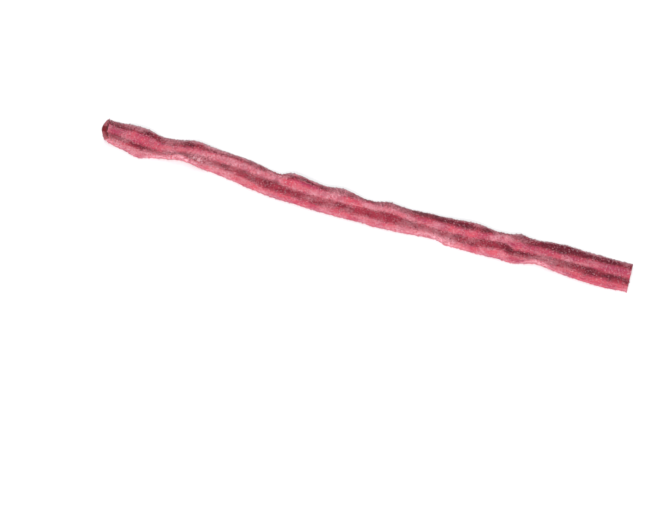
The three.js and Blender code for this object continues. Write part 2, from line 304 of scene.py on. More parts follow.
print("steepest droop of the far edge", round(float(bend_slopes(along, np.ones(1)).min()), 1), "degrees")

# %% [markdown]
# The two folds
#
# In two places the near edge stands right up, so that its pale underside faces the viewer. Such a fold
# starts at the edge with a sharp corner. Its crease then runs inwards along the belt until the edge lies
# down again. A bend with a fixed crease couldn't show the corner, so a fold gets a crease that moves.

# %% Folds along the near edge
# name, where the crease is deepest, how far before and after, depth as a share of the half width, degrees
FOLDS = [("waist_fold", 37, 24, 18.5, 0.69, 82), ("end_fold", 199.5, 14, 12.5, 0.56, 80)]
FOLD_RAMP = 0.4
FOLD_RISE = 0.25


def fold_slopes(s, u):
    """Degrees that the near edge is folded up, for each place s and share u."""
    total = np.zeros((len(s), len(u)))
    for _, at, before, after, depth, angle in FOLDS:
        grown = np.clip((s - at + before) / before, 0, 1)
        held = smooth(grown / FOLD_RISE) * smooth((at + after - s) / after)
        crease = 1 - depth * grown
        total += (angle * held)[:, None] * smooth((-u[None] - crease[:, None]) / FOLD_RAMP)
    return total


print("steepest fold", round(float(fold_slopes(along, -np.ones(1)).max()), 1), "degrees")

# %% [markdown]
# Sections
#
# The height across a section is found by adding up its slope in small steps, so the ribbon is bent but
# never stretched, and each section rests on its lowest point. In some places an edge stands out or in a
# little, because the soft candy was pulled there. Only there are the steps made longer or shorter.

# %% Sections across the belt
# name, where it is, how far before and after, and how far out in millimetres
NEAR_EDGE = [
    ("corner", 19.5, 8, 4.5, 1.4),
    ("fold_start", 30, 9, 4, -0.8),
    ("fold_end", 45, 6, 9, 0.6),
    ("first_bulge", 66, 14, 18, 0.9),
    ("second_bulge", 112, 16, 22, 0.4),
    ("third_bulge", 134, 12, 8, 0.55),
    ("hollow", 150, 12, 8, -1.1),
    ("hollow_end", 157.5, 8, 6, -1.5),
    ("pinch", 198, 7, 8, -0.9),
    ("belly", 227.5, 18.5, 24, 1.4),
]
FAR_EDGE = [
    ("tip", 7, 8, 5, 0.4),
    ("waist", 36, 10, 8, 1.2),
    ("back", 48, 5, 30, -0.65),
    ("crest", 84, 7, 9, 0.4),
    ("saddle", 118, 7, 5, -1.1),
    ("slump", 137, 6, 9, -0.5),
    ("ridge", 191, 7, 5, 0.45),
    ("rise", 206, 9, 12, 0.55),
]
PULLED_FROM = 0.5
PAST_EDGE = 1.06
WIDTH_STEPS = 106
# keeps a place inside a table in spite of rounding
ROUNDING = 0.001

across = np.linspace(-PAST_EDGE, PAST_EDGE, WIDTH_STEPS + 1)


def sections(s, u):
    """How far out and how high each share u of the width is, at each place s."""
    between = (u[1:] + u[:-1]) / 2
    slope = np.radians(bend_slopes(s, between) - fold_slopes(s, between))
    width = half_width(s)[:, None]
    for edge, outer in ((NEAR_EDGE, between < -PULLED_FROM), (FAR_EDGE, between > PULLED_FROM)):
        pulled = sum(out * swell(s, at, before, after) for _, at, before, after, out in edge)
        width = width + pulled[:, None] * outer / (1 - PULLED_FROM)
    step = width * (u[1] - u[0])
    start = np.zeros((len(s), 1))
    out = np.concatenate([start, np.cumsum(np.cos(slope) * step, axis=1)], axis=1)
    up = np.concatenate([start, np.cumsum(np.sin(slope) * step, axis=1)], axis=1)
    middle = len(u) // 2
    on_belt = np.abs(u) <= 1 + ROUNDING
    return out - out[:, middle:middle + 1], up - up[:, on_belt].min(axis=1, keepdims=True)


section_out, section_up = sections(along, across)
print("the sections rise to", round(float(section_up.max()), 2), "mm")

# %% [markdown]
# The middle surface
#
# Course and sections together give the ribbon's middle surface, as a table of points. A place between
# them is found by mixing its neighbours, which is quick and lets every later step ask for any place on
# the belt. The line between the two ends is laid along X. The normals of the surface say which way is
# up for the candy there.

# %% Middle surface of the ribbon


def lay_along_x(points, start, end):
    """The points moved and turned so that start and end lie along X."""
    turn = math.atan2(end[1] - start[1], end[0] - start[0])
    c, s = math.cos(turn), math.sin(turn)
    x, y, _ = np.moveaxis(points - (start + end) / 2, -1, 0)
    return np.stack([x * c + y * s, y * c - x * s, points[..., 2]], -1)


def middle_surface():
    sideways = np.stack([-np.sin(heading), np.cos(heading)], 1)
    points = np.repeat(course[:, None, :], len(across), axis=1)
    points[..., :2] += sideways[:, None, :] * section_out[..., None]
    start = course[int(MARGIN / STEP)]
    end = course[int((MARGIN + LENGTH) / STEP)]
    points[..., 2] += section_up - end[2] + THICKNESS / 2
    return lay_along_x(points, start, end)


def grid_normals(points, wrap=False):
    """The direction square to a grid's surface at each point; wrap is for a grid that goes all round."""
    lengthwise = np.gradient(points, axis=0)
    if wrap:
        crosswise = np.roll(points, -1, axis=1) - np.roll(points, 1, axis=1)
    else:
        crosswise = np.gradient(points, axis=1)
    normals = np.cross(lengthwise, crosswise)
    return normals / np.linalg.norm(normals, axis=-1, keepdims=True)


surface = middle_surface()
surface_normals = grid_normals(surface)


def at_place(table, s, u):
    """What a table of points or normals holds at each place along the belt and share across it."""
    i = np.clip((s + MARGIN) / STEP, 0, len(along) - 1 - ROUNDING)
    k = np.clip((u + PAST_EDGE) / (2 * PAST_EDGE) * WIDTH_STEPS, 0, WIDTH_STEPS - ROUNDING)
    i0, k0 = i.astype(int), k.astype(int)
    di, dk = (i - i0)[..., None], (k - k0)[..., None]
    before = table[i0, k0] * (1 - dk) + table[i0, k0 + 1] * dk
    after = table[i0 + 1, k0] * (1 - dk) + table[i0 + 1, k0 + 1] * dk
    return before * (1 - di) + after * di


print("the middle surface has", surface.shape[0] * surface.shape[1], "points")

# %% [markdown]
# The cuts
#
# At the square end the blade went nearly straight through the belt. At the tip the knife slid: the
# outline comes to a blunt point, and the cut slants, so that its dark, glossy face is seen from above.
# Both cuts are a shift of the place along the belt, which fades away from the end. At the tip it depends
# on the height in the belt too.

# %% Cut ends
TIP_SKEW = -2.5
TIP_BULGE = 2.4
TIP_POINT = 1.4
TIP_BEVEL = 2.9
BEVEL_FADE = 0.6
END_SKEW = -0.1
CUT_REACH = 12
# the number of the wave in the thickness, and how it changes across the belt
THICKNESS_WAVE = 7
WAVE_ACROSS = 2


def cut_shift(s, u, height):
    """How far a cut moves each point of the belt's ends along the belt."""
    outline = TIP_SKEW * u + TIP_BULGE * (np.abs(u) ** TIP_POINT - 1)
    set_back = TIP_BEVEL * (1 - BEVEL_FADE * u * u) * np.maximum(height, 0)
    tip = (outline + set_back) * smooth(1 - s / CUT_REACH)
    return tip + END_SKEW * u * smooth(1 - (LENGTH - s) / CUT_REACH)


def body_points(s, u, height):
    """Points of the candy: height runs from -1 at its underside to 1 at its top."""
    place = s + cut_shift(s, u, height)
    uneven = 1 + THICKNESS_WANDER * wander(s, THICKNESS_WAVE + WAVE_ACROSS * u) * (height > 0)
    offset = height * (THICKNESS / 2 * uneven - COAT)
    return at_place(surface, place, u) + at_place(surface_normals, place, u) * offset[..., None]


print("the tip stands out by", -cut_shift(np.zeros(1), np.zeros(1), np.zeros(1)), "mm")

# %% [markdown]
# Seams and edges
#
# The four strands are divided by three seams, which drift to one side or the other where the candy was
# pulled unevenly. The seam is ragged too, because soft candy smears. Two strands that share a seam use the
# same line for it, so no gap opens between them.

# %% Lines between the strands
# share of the half width, then how it drifts: where along the belt, and how far towards the far edge
SEAMS = {
    "near": (-0.58, [(6, -0.11), (114, -0.06), (150, 0.08), (186, 0.16), (240, -0.08)]),
    "middle": (
        -0.06,
        [(6, -0.16), (24, -0.22), (42, 0.09), (78, 0.07), (132, 0.2), (186, 0.1), (240, -0.13)],
    ),
    "far": (0.51, [(96, 0.12), (150, -0.07), (168, -0.07), (222, -0.07)]),
}
SEAM_REACH = 18
RAGGED = 0.4
RAG_SIZE = 1.4
# the numbers of the waves that edges and seams follow
EDGE_WAVE = 3
SEAM_WAVE = 10


def line_at(name, s):
    """Where a seam or an edge runs, as a share of the half width."""
    half = half_width(s)
    if name in ("near_edge", "far_edge"):
        side = 1 if name == "far_edge" else -1
        return side + (EDGE_WANDER * wander(s, EDGE_WAVE * side) - side * COAT) / half
    at, drifts = SEAMS[name]
    drift = sum(shift * swell(s, place, SEAM_REACH, SEAM_REACH) for place, shift in drifts)
    rags = np.array([noise.noise(Vector((place / RAG_SIZE, SEAM_WAVE * at, 0))) for place in s])
    return at + drift + (SEAM_WANDER * wander(s, SEAM_WAVE * at) + RAGGED * rags) / half


print("the middle seam runs at", round(float(line_at("middle", np.array([120.0]))[0]), 2), "half way along")

# %% [markdown]
# One strand's section
#
# Each strand is a soft rope pressed flat: nearly level on top, with a shallow groove where it meets its
# neighbour, and well rounded where it is the edge of the belt. The profile goes once round the strand: over
# the top to the near side, down it, back along the underside, and up the far side.

# %% Profile of a strand
PROFILE_POINTS = 22
SIDE_POINTS = 4
GROOVE = 0.2
SEAM_POWER = 6
SEAM_STARTS = 0.93
ROUND_POWER = 3.2
ROUND_ROOT = 2.2
THINNEST = 0.06
CROWN = 0.04


def profile_height(x, round_near, round_far):
    """Height of a strand's top, for x from -1 on its near side to 1 on its far side."""
    size = np.abs(x)
    crown = 1 - CROWN * size**2
    at_seam = crown - GROOVE * size**SEAM_POWER
    rounded = np.maximum((1 - np.minimum(size, 1) ** ROUND_POWER) ** (1 / ROUND_ROOT), THINNEST) * crown
    use_round = ((x < 0) & round_near) | ((x > 0) & round_far)
    return np.where(use_round, rounded, at_seam)


def strand_profile(round_near, round_far):
    """Place across the strand from -1 to 1, height from -1 to 1, and whether the point lies on a seam."""
    x = np.cos(np.linspace(0, math.pi, PROFILE_POINTS))
    height = profile_height(x, round_near, round_far)
    down = np.linspace(1, -1, SIDE_POINTS + 2)[1:-1]
    near_side, far_side = down * height[-1], -down * height[0]
    around = np.concatenate([x, -np.ones(SIDE_POINTS), -x, np.ones(SIDE_POINTS)])
    heights = np.concatenate([height, near_side, -height[::-1], far_side])
    on_seam = ((around < -SEAM_STARTS) & (not round_near)) | ((around > SEAM_STARTS) & (not round_far))
    return around, heights, on_seam


print("a strand's profile has", len(strand_profile(False, False)[0]), "points")

# %% [markdown]
# The strands as grids
#
# A strand is a grid of points: stations along the belt, and the profile round it at each. The candy itself
# lies a thin coat's depth inside the finished size, since the sugar takes up the rest. Its skin isn't
# smooth: slow lumps from pulling and fine grit from the sugar pressed into it move its points along the
# normals. The seams are left alone, so that two strands never cross. Where a strand meets the table its
# underside is flat.

# %% Grids of the strands
STRANDS = [
    ("strand_pink_near", "near_edge", "near", "pink_candy"),
    ("strand_dark_near", "near", "middle", "dark_candy"),
    ("strand_pink_far", "middle", "far", "pink_candy"),
    ("strand_dark_far", "far", "far_edge", "dark_candy"),
]
STATION_STEP = 0.3
LUMP_SIZE = 3.5
LUMP_HEIGHT = 0.05
GRIT_SIZE = 0.55
GRIT_HEIGHT = 0.05
stations = np.linspace(0, LENGTH, int(LENGTH / STATION_STEP) + 1)


def relief(points, strength):
    """How far lumps and grit move each point out."""
    height = np.empty(len(points))
    for n, point in enumerate(points):
        p = Vector(point)
        height[n] = LUMP_HEIGHT * noise.noise(p / LUMP_SIZE) + GRIT_HEIGHT * noise.noise(p / GRIT_SIZE)
    return height * strength


def strand_grid(near_line, far_line):
    """A strand's points, which way is out, their place on the belt, and where no seam covers them."""
    x, height, on_seam = strand_profile(near_line == "near_edge", far_line == "far_edge")
    s = np.repeat(stations[:, None], len(x), axis=1)
    near_u, far_u = line_at(near_line, stations)[:, None], line_at(far_line, stations)[:, None]
    u = near_u + (far_u - near_u) * (x + 1) / 2
    heights = np.broadcast_to(height, s.shape)
    points = body_points(s, u, heights)
    outward = -grid_normals(points, wrap=True)
    strength = np.broadcast_to(~on_seam, s.shape)
    points += outward * relief(points.reshape(-1, 3), strength.ravel()).reshape(s.shape)[..., None]
    points[..., 2] = np.maximum(points[..., 2], COAT)
    return {"points": points, "outward": outward, "s": s, "u": u, "height": heights, "open": strength}


grids = {name: strand_grid(near, far) for name, near, far, _ in STRANDS}
corners = [(g["points"].min(axis=(0, 1)), g["points"].max(axis=(0, 1))) for g in grids.values()]
belt_middle = (np.min([c[0] for c in corners], axis=0) + np.max([c[1] for c in corners], axis=0)) / 2
belt_middle[2] = 0
for grid in grids.values():
    grid["points"] -= belt_middle
print("each strand has", grids["strand_dark_far"]["u"].size, "points; the belt's middle was at", belt_middle)

# %% [markdown]
# Worn and frosted spots, and spots of painted light
#
# The coat is uneven. Handling rubs it off in places, where the candy shows deep and glossy, and in others
# it cakes into a pale frost. The candy under it varies too. Slow noise gives such changes, but not in the
# places where this belt has them, so spots that were placed one by one are added to it. Each is a soft patch
# with a gain of sugar and a gain of lightness, and a gain below 0 takes away.
# Some spots are painted light as well: those on the fold undersides and in the crease behind each fold
# lighten parts that lie in shade, and heaped sugar on the far rim paints grey highlights there.

# %% Spots placed one by one
# where along the belt, share across it, reach along, reach across, gain of sugar, gain of lightness
SPOTS = [
    # on the near pink strand
    (3, -0.75, 6, 0.3, 0.5, 0.4),
    (16, -0.75, 5, 0.3, 0.1, 0.1),
    (24, -0.9, 3, 0.2, 0.6, 0.4),
    # painted light on the shaded underside of the waist fold
    (37, -0.95, 10, 0.25, 0.3, 0.2),
    (44, -0.7, 4, 0.3, 0.5, 0.3),
    (62, -0.8, 14, 0.3, 0.12, 0.3),
    (74, -0.8, 5, 0.3, -0.2, 0.2),
    (90, -0.8, 6, 0.3, -0.1, 0),
    (99, -0.68, 4, 0.2, -0.5, -0.1),
    (121, -0.8, 8, 0.3, -0.15, 0),
    (157, -0.85, 13, 0.3, 0.65, 0.2),
    (176, -0.7, 10, 0.3, -0.3, 0),
    (190, -0.8, 4, 0.3, 0, -0.1),
    # painted light on the shaded underside of the end fold
    (200, -0.95, 6, 0.25, 0.1, 0.2),
    (211, -0.75, 5, 0.3, 0.25, 0.1),
    (226, -0.8, 12, 0.3, -0.55, 0.3),
    # on the near dark strand
    (13, -0.25, 3, 0.2, 0.5, 0),
    (17, -0.3, 6, 0.25, -0.35, -0.25),
    (19, -0.5, 3, 0.15, -0.5, -0.4),
    # painted light where the waist fold's lip shades the dark strand
    (36, -0.45, 9, 0.2, 0.9, 0.6),
    (44, -0.3, 5, 0.25, 0.75, 0.3),
    (72, -0.2, 7, 0.25, -0.3, 0),
    (88, -0.3, 9, 0.25, -0.4, 0),
    (104, -0.3, 6, 0.25, 0.1, 0.05),
    (128, -0.2, 10, 0.25, -0.45, 0.25),
    (151, -0.25, 9, 0.25, 0.2, 0.1),
    (172, -0.3, 4, 0.25, 0.35, 0.2),
    (185, -0.2, 8, 0.25, -0.5, -0.3),
    # painted light where the end fold's lip shades the dark strand
    (204, -0.4, 7, 0.25, 0.5, 0.4),
    (225, -0.3, 12, 0.25, -0.5, 0.1),
    (228, -0.4, 4, 0.2, -0.4, -0.5),
    # on the far pink strand
    (3, 0.2, 5, 0.4, -0.1, -0.25),
    (4, 0.1, 3, 0.3, -0.4, -0.3),
    (19, 0.15, 6, 0.3, -0.25, -0.1),
    (33, 0.2, 5, 0.3, -0.1, 0.1),
    (54, 0.2, 10, 0.3, 0.1, 0.1),
    (71, 0.2, 9, 0.3, 0.2, 0),
    (90, 0.3, 5, 0.3, -0.2, 0.5),
    (108, 0.4, 5, 0.3, 0.2, 0.1),
    (118, 0.22, 4, 0.2, -0.6, 0),
    (126, 0.2, 9, 0.3, 0.15, 0.2),
    (150, 0.25, 7, 0.3, -0.2, 0),
    (172, 0.06, 3, 0.2, -0.5, -0.1),
    (174, 0.25, 6, 0.3, -0.25, 0),
    (178, 0.46, 4, 0.2, -0.4, -0.3),
    (181, 0.18, 3, 0.2, 0.5, 0.2),
    (192, 0.35, 8, 0.3, -0.3, -0.1),
    (213, 0.1, 3, 0.2, 0.5, 0.2),
    (214, 0.25, 11, 0.3, -0.3, -0.05),
    (231, 0.25, 7, 0.3, -0.15, -0.25),
    # on the far dark strand
    # heaped sugar on the rim, as at 62, 80, 113, 127 and 180 mm, is partly painted grey highlight
    (10, 0.5, 8, 0.2, -0.25, -0.2),
    (10, 0.85, 4, 0.2, 0.3, 0.1),
    (15, 0.7, 3, 0.2, 0.5, 0),
    (21, 0.65, 7, 0.25, -0.5, -0.3),
    (29, 0.8, 4, 0.2, 0.5, 0),
    (39, 0.65, 6, 0.25, -0.3, -0.2),
    (62, 0.6, 14, 0.12, -0.2, -0.3),
    (62, 0.92, 14, 0.2, 0.75, 0),
    (80, 0.85, 5, 0.25, 0.6, 0.2),
    (83, 0.66, 5, 0.2, 0.5, 0.2),
    (94, 0.7, 4, 0.25, -0.4, -0.4),
    (97, 0.65, 9, 0.25, -0.4, -0.2),
    (99, 0.9, 4, 0.2, 0.5, 0.1),
    (113, 0.85, 6, 0.25, 0.3, 0),
    (122, 0.6, 20, 0.2, 0, -0.4),
    (127, 0.9, 8, 0.25, 0.55, 0),
    (136, 0.73, 4, 0.2, 0.5, 0),
    (157, 0.65, 18, 0.3, -0.5, -0.25),
    (180, 0.9, 6, 0.25, 0.5, 0),
    (187, 0.58, 5, 0.2, 0.5, 0.2),
    (211, 0.7, 11, 0.25, -0.45, -0.2),
    (212, 0.75, 4, 0.2, -0.3, -0.5),
    (230, 0.7, 8, 0.3, -0.3, -0.3),
]
SUGAR_GAIN = 4
LIGHT_GAIN = 5


def sum_of_spots(s, u, gain):
    """What all spots together add at each place, from the column of one gain."""
    total = 0
    for spot in SPOTS:
        past = (s - spot[0]) / spot[2]
        aside = (u - spot[1]) / spot[3]
        total = total + spot[gain] * np.exp(-(past**2) - aside**2)
    return total


print(len(SPOTS), "spots, of which", sum(spot[SUGAR_GAIN] < 0 for spot in SPOTS), "are worn")

# %% [markdown]
# How much sugar, and how light the candy
#
# One function gives the cover of sugar at every place: thickest below, where nothing rubs, and on the far
# rim. Another gives the candy's lightness, which falls towards the far edge, on the near rim and at the
# square end. Candy colour and grains both follow these two, so that they agree. Where the cover is highest,
# on the fold undersides and along the far rim, the candy turns to its thick sugar colour, which is partly
# painted light there.

# %% Cover and lightness
COVER = 0.47
COVER_CHANGE = 0.4
LEAST_COVER = 0.05
MOST_COVER = 1.5
UNDER_COVER = 0.45
RIM_COVER = 0.35
LIGHTNESS = 0.55
LIGHTNESS_CHANGE = 0.5
FAR_DARKER = 0.16
RIM_DARKER = 0.35
RIM_STARTS = 0.8
RIM_RAMP = 0.15
END_DARKER = 0.15
END_STARTS = 185
END_RAMP = 15
PATCH_SIZE = 5
PATCHES_ACROSS = 2.6
COVER_SEED = 3.7
LIGHTNESS_SEED = 8.1


def slow_noise(s, u, seed):
    """Slow changes along and across the belt; each seed gives others."""
    values = np.empty(s.shape)
    for n, (a, b) in enumerate(zip(s.flat, u.flat)):
        values.flat[n] = noise.noise(Vector((a / PATCH_SIZE, PATCHES_ACROSS * b, seed)))
    return values


def sugar_cover(s, u, height):
    cover = COVER + COVER_CHANGE * slow_noise(s, u, COVER_SEED) + sum_of_spots(s, u, SUGAR_GAIN)
    # the extra cover below and on the far rim takes fold undersides and the rim to the thick sugar colour,
    # which is partly painted light
    cover = cover + UNDER_COVER * smooth(-height) + RIM_COVER * smooth((u - RIM_STARTS) / RIM_RAMP)
    return np.clip(cover, LEAST_COVER, MOST_COVER)


def candy_lightness(s, u):
    light = LIGHTNESS + LIGHTNESS_CHANGE * slow_noise(s, u, LIGHTNESS_SEED) + sum_of_spots(s, u, LIGHT_GAIN)
    light = light - FAR_DARKER * u - END_DARKER * smooth((s - END_STARTS) / END_RAMP)
    light = light - RIM_DARKER * smooth((-u - RIM_STARTS) / RIM_RAMP)
    return np.clip(light, 0, 1)


for name, grid in grids.items():
    grid["sugar_cover"] = sugar_cover(grid["s"], grid["u"], grid["height"])
    grid["lightness"] = candy_lightness(grid["s"], grid["u"])
    print(name, "cover", round(float(grid["sugar_cover"].mean()), 2))

# %% [markdown]
# Candy that smears
#
# Two soft candies pulled side by side smear where they meet, and in places one was dragged right over the
# other. Moving the seam there would change the strands' shapes, so the colours get a line of their own:
# the seam, with a few listed drags. The share of the neighbour's candy grows from nothing to all
# of it across that line.
# Some drags of dark candy over pink beside the two folds are painted shade as well: they darken the creases
# of the folds, which lie in shade.

# %% Smear along the seams
SMEAR_REACH = 1.2
DRAG_REACH = 7
# where candy was dragged across a seam, beside the folds partly as painted shade, and how far to the far edge
DRAGS_AND_PAINTED_SHADE = {
    "near": [(9, 0.2), (38, 0.25), (47, 0.06), (112, 0.12), (190, -0.14), (204, 0.12), (224, -0.1)],
    "middle": [(6, 0.12), (38, 0.05), (52, -0.15), (84, 0.14), (118, -0.15), (193, -0.15)],
    "far": [(4, -0.12), (28, -0.15), (118, -0.1), (196, -0.12), (210, -0.09), (223, 0.07)],
}


def colour_line(name, s):
    """Where the colours of two strands meet."""
    drags_and_shade = sum(drag * swell(s, at, DRAG_REACH, DRAG_REACH) for at, drag in DRAGS_AND_PAINTED_SHADE[name])
    return line_at(name, s) + drags_and_shade


def smear_share(s, u, strand_number):
    """How much of a place is candy from the next strand: half where the colours meet, all of it past that."""
    lines = [colour_line(name, stations)[:, None] for name in SEAMS]
    # an outer strand has a neighbour on one side only
    past_near = [u - line for line in lines[:strand_number][-1:]]
    past_far = [line - u for line in lines[strand_number:][:1]]
    inside = np.min(past_near + past_far, axis=0) * half_width(s)
    smear = 0.5 * smooth(1 - np.abs(inside) / SMEAR_REACH)
    return np.where(inside > 0, smear, 1 - smear)


for strand_number, (name, grid) in enumerate(grids.items()):
    grid["smear"] = smear_share(grid["s"], grid["u"], strand_number)
    print(name, "is smeared by", round(float(grid["smear"].mean()), 2))

# %% [markdown]
# Helpers for materials
#
# Both candies and the sugar are built from the same few steps: a noise, a ramp that sharpens it, a mix of
# two colours, and a bump. A short helper for each keeps the materials easy to read.

# %% Material helpers
# how far light gets into candy or sugar, in millimetres
GLOW_DEPTH = 0.7


def ramp(tree, source, places, name):
    """Sharpens values: each pair is a place on the ramp and its value."""
    node = tree.nodes.new("ShaderNodeValToRGB")
    node.name = name
    for stop, (place, value) in zip(node.color_ramp.elements, places):
        stop.position = place
        stop.color = (value, value, value, 1)
    tree.links.new(source, node.inputs["Fac"])
    return node.outputs["Color"]


def noise_texture(tree, vector, size_mm, detail, name):
    """Soft clouds of about the given size."""
    node = tree.nodes.new("ShaderNodeTexNoise")
    node.name = name
    node.inputs["Scale"].default_value = 1 / (size_mm * MM)
    node.inputs["Detail"].default_value = detail
    tree.links.new(vector, node.inputs["Vector"])
    return node.outputs["Fac"]


def mix_colours(tree, share, a, b, name):
    """Colour a where the share is 0, and colour b where it is 1."""
    node = tree.nodes.new("ShaderNodeMix")
    node.data_type = "RGBA"
    node.name = name
    tree.links.new(share, node.inputs["Factor"])
    for socket, value in ((node.inputs["A"], a), (node.inputs["B"], b)):
        if isinstance(value, tuple):
            socket.default_value = (*value, 1)
        else:
            tree.links.new(value, socket)
    return node.outputs["Result"]


def mean_of(tree, a, b, name):
    add = tree.nodes.new("ShaderNodeMath")
    add.operation = "ADD"
    tree.links.new(a, add.inputs[0])
    tree.links.new(b, add.inputs[1])
    half = tree.nodes.new("ShaderNodeMath")
    half.operation = "MULTIPLY"
    half.name = name
    half.inputs[1].default_value = 0.5
    tree.links.new(add.outputs["Value"], half.inputs[0])
    return half.outputs["Value"]


def add_bump(tree, height, strength, depth_mm, name):
    """Relief too fine for the mesh, for the light only."""
    node = tree.nodes.new("ShaderNodeBump")
    node.name = name
    node.inputs["Strength"].default_value = strength
    node.inputs["Distance"].default_value = depth_mm * MM
    tree.links.new(height, node.inputs["Height"])
    return node.outputs["Normal"]


def new_material(name):
    """A new material, with its node tree, its shader and the place on the object."""
    material = bpy.data.materials.new(name)
    material.use_nodes = True
    tree = material.node_tree
    place = tree.nodes.new("ShaderNodeTexCoord").outputs["Object"]
    return material, tree, tree.nodes["Principled BSDF"], place


def wire_shader(tree, shader, colour, dullness, bump, shine):
    """Connects what changes over the surface. The shine is the same all over."""
    for socket, source in (("Base Color", colour), ("Roughness", dullness), ("Normal", bump)):
        tree.links.new(source, shader.inputs[socket])
    shader.inputs["Specular IOR Level"].default_value = shine


def let_light_in(shader, weight, glow):
    """Lets light go a little way into the material and come out again."""
    shader.inputs["Subsurface Weight"].default_value = weight
    shader.inputs["Subsurface Radius"].default_value = glow
    shader.inputs["Subsurface Scale"].default_value = GLOW_DEPTH * MM


print("a noise of 1 mm has the scale", 1 / MM)

# %% [markdown]
# Candy
#
# Sour candy is a firm, slightly see-through jelly, so light enters it and comes out a little further on:
# subsurface light gives it that depth. Its colour goes from deep to light with the lightness and with fine
# streaks, and next to a seam the other candy is mixed in with a ragged border. Sugar makes it paler and
# duller in spots of a millimetre or less: a thin frost takes on the candy's tint, and thick sugar is paler
# still. Where the cover is highest, this pale colour is also painted light: light on the shaded undersides
# of the folds, and grey highlights along the far rim. One function makes both candies, since only their
# colours and the start of the frost differ.

# %% Candy material
# each candy deep, light, and smeared over the other, then its thin sugar, its thick sugar with painted
# light, and the light let through
DEEP = {"pink_candy": (0.34, 0.032, 0.08), "dark_candy": (0.1, 0.003, 0.014)}
LIGHT = {"pink_candy": (0.53, 0.075, 0.11), "dark_candy": (0.29, 0.02, 0.042)}
SMEARED = {"pink_candy": (0.44, 0.055, 0.09), "dark_candy": (0.2, 0.013, 0.032)}
FROST = {"pink_candy": (0.62, 0.27, 0.32), "dark_candy": (0.45, 0.165, 0.2)}
# thick sugar, which where the cover is highest also paints light onto the shaded fold undersides and grey
# highlights onto the far rim
THICK_SUGAR_AND_PAINTED_LIGHT = {"pink_candy": (0.87, 0.42, 0.5), "dark_candy": (0.58, 0.3, 0.34)}
GLOW = {"pink_candy": (1.0, 0.25, 0.3), "dark_candy": (0.7, 0.12, 0.16)}
FROST_STARTS = {"pink_candy": 0.36, "dark_candy": 0.42}
CANDY_SHINE = 0.28


def attribute(tree, name, output="Fac"):
    """A value that is stored on the mesh."""
    node = tree.nodes.new("ShaderNodeAttribute")
    node.attribute_name = name
    return node.outputs[output]


def bare_candy(tree, place, name, neighbour):
    """The colour of the candy without sugar, and the share of its neighbour in it."""
    streaks = noise_texture(tree, place, size_mm=1.8, detail=4, name="streaks")
    streaked = mean_of(tree, attribute(tree, "lightness"), streaks, "streaked")
    depth = ramp(tree, streaked, ((0.32, 0), (0.68, 1)), "depth")
    candy = mix_colours(tree, depth, DEEP[name], LIGHT[name], "candy_colour")
    rags = noise_texture(tree, place, size_mm=1.2, detail=3, name="rags")
    smeared = mean_of(tree, attribute(tree, "smear"), rags, "ragged_smear")
    smear = ramp(tree, smeared, ((0.36, 0), (0.64, 1)), "smear_share")
    return mix_colours(tree, smear, candy, SMEARED[neighbour], "smeared"), smear


def candy_material(name, neighbour):
    material, tree, shader, place = new_material(name)
    candy, smear = bare_candy(tree, place, name, neighbour)
    spots = noise_texture(tree, place, size_mm=1.0, detail=3, name="sugar_spots")
    heaped = mean_of(tree, attribute(tree, "sugar_cover"), spots, "heaped_sugar")
    frosted = ramp(tree, heaped, ((FROST_STARTS[name], 0), (0.68, 1)), "frosted_share")
    # thick sugar, with painted light on the fold undersides and painted grey highlights on the far rim
    thick_sugar_and_light_share = ramp(tree, heaped, ((0.76, 0), (1, 1)), "thick_sugar_and_light_share")
    tinted = mix_colours(tree, smear, FROST[name], FROST[neighbour], "tinted_frost")
    sugar = mix_colours(tree, thick_sugar_and_light_share, tinted, THICK_SUGAR_AND_PAINTED_LIGHT[name], "sugar_and_light_colour")
    colour = mix_colours(tree, frosted, candy, sugar, "colour_with_sugar")
    dullness = ramp(tree, frosted, ((0, 0.34), (0.6, 0.62)), "dullness")
    grain = noise_texture(tree, place, size_mm=0.22, detail=2, name="grain_relief")
    bump = add_bump(tree, grain, strength=0.6, depth_mm=0.08, name="bump")
    wire_shader(tree, shader, colour, dullness, bump, CANDY_SHINE)
    let_light_in(shader, weight=0.25, glow=GLOW[name])
    return material


candies = {
    "pink_candy": candy_material("pink_candy", "dark_candy"),
    "dark_candy": candy_material("dark_candy", "pink_candy"),
}
print("candies:", [m.name for m in candies.values()])

# %% [markdown]
# The freshly cut ends
#
# A cut shows the candy without any sugar: dark and wet-looking, with smears where the knife dragged. Its
# colours are also painted shade, since the slanted cut at the tip lies in shade: there even the far pink
# strand is painted nearly as dark as the dark candy. On the slanted tip the knife also drew paler candy over
# parts of the face. The cuts get a plainer material of their own, with a sharper gloss.

# %% Cut material
CUT_PALE = (0.3, 0.07, 0.088)
CUT_SHINE = 0.15
# the colour inside each strand, partly painted shade, the colour smeared over it, and the candy it glows like
CUT_COLOURS_AND_SHADE = {
    "pink_near": ((0.34, 0.02, 0.035), (0.5, 0.05, 0.07), "pink_candy"),
    "dark_near": ((0.1, 0.0015, 0.005), (0.16, 0.004, 0.01), "dark_candy"),
    # the far pink strand's cut, painted nearly as dark as the dark candy as shade
    "pink_far": ((0.11, 0.002, 0.006), (0.18, 0.005, 0.012), "dark_candy"),
    "dark_far": ((0.06, 0.0015, 0.006), (0.11, 0.003, 0.01), "dark_candy"),
}


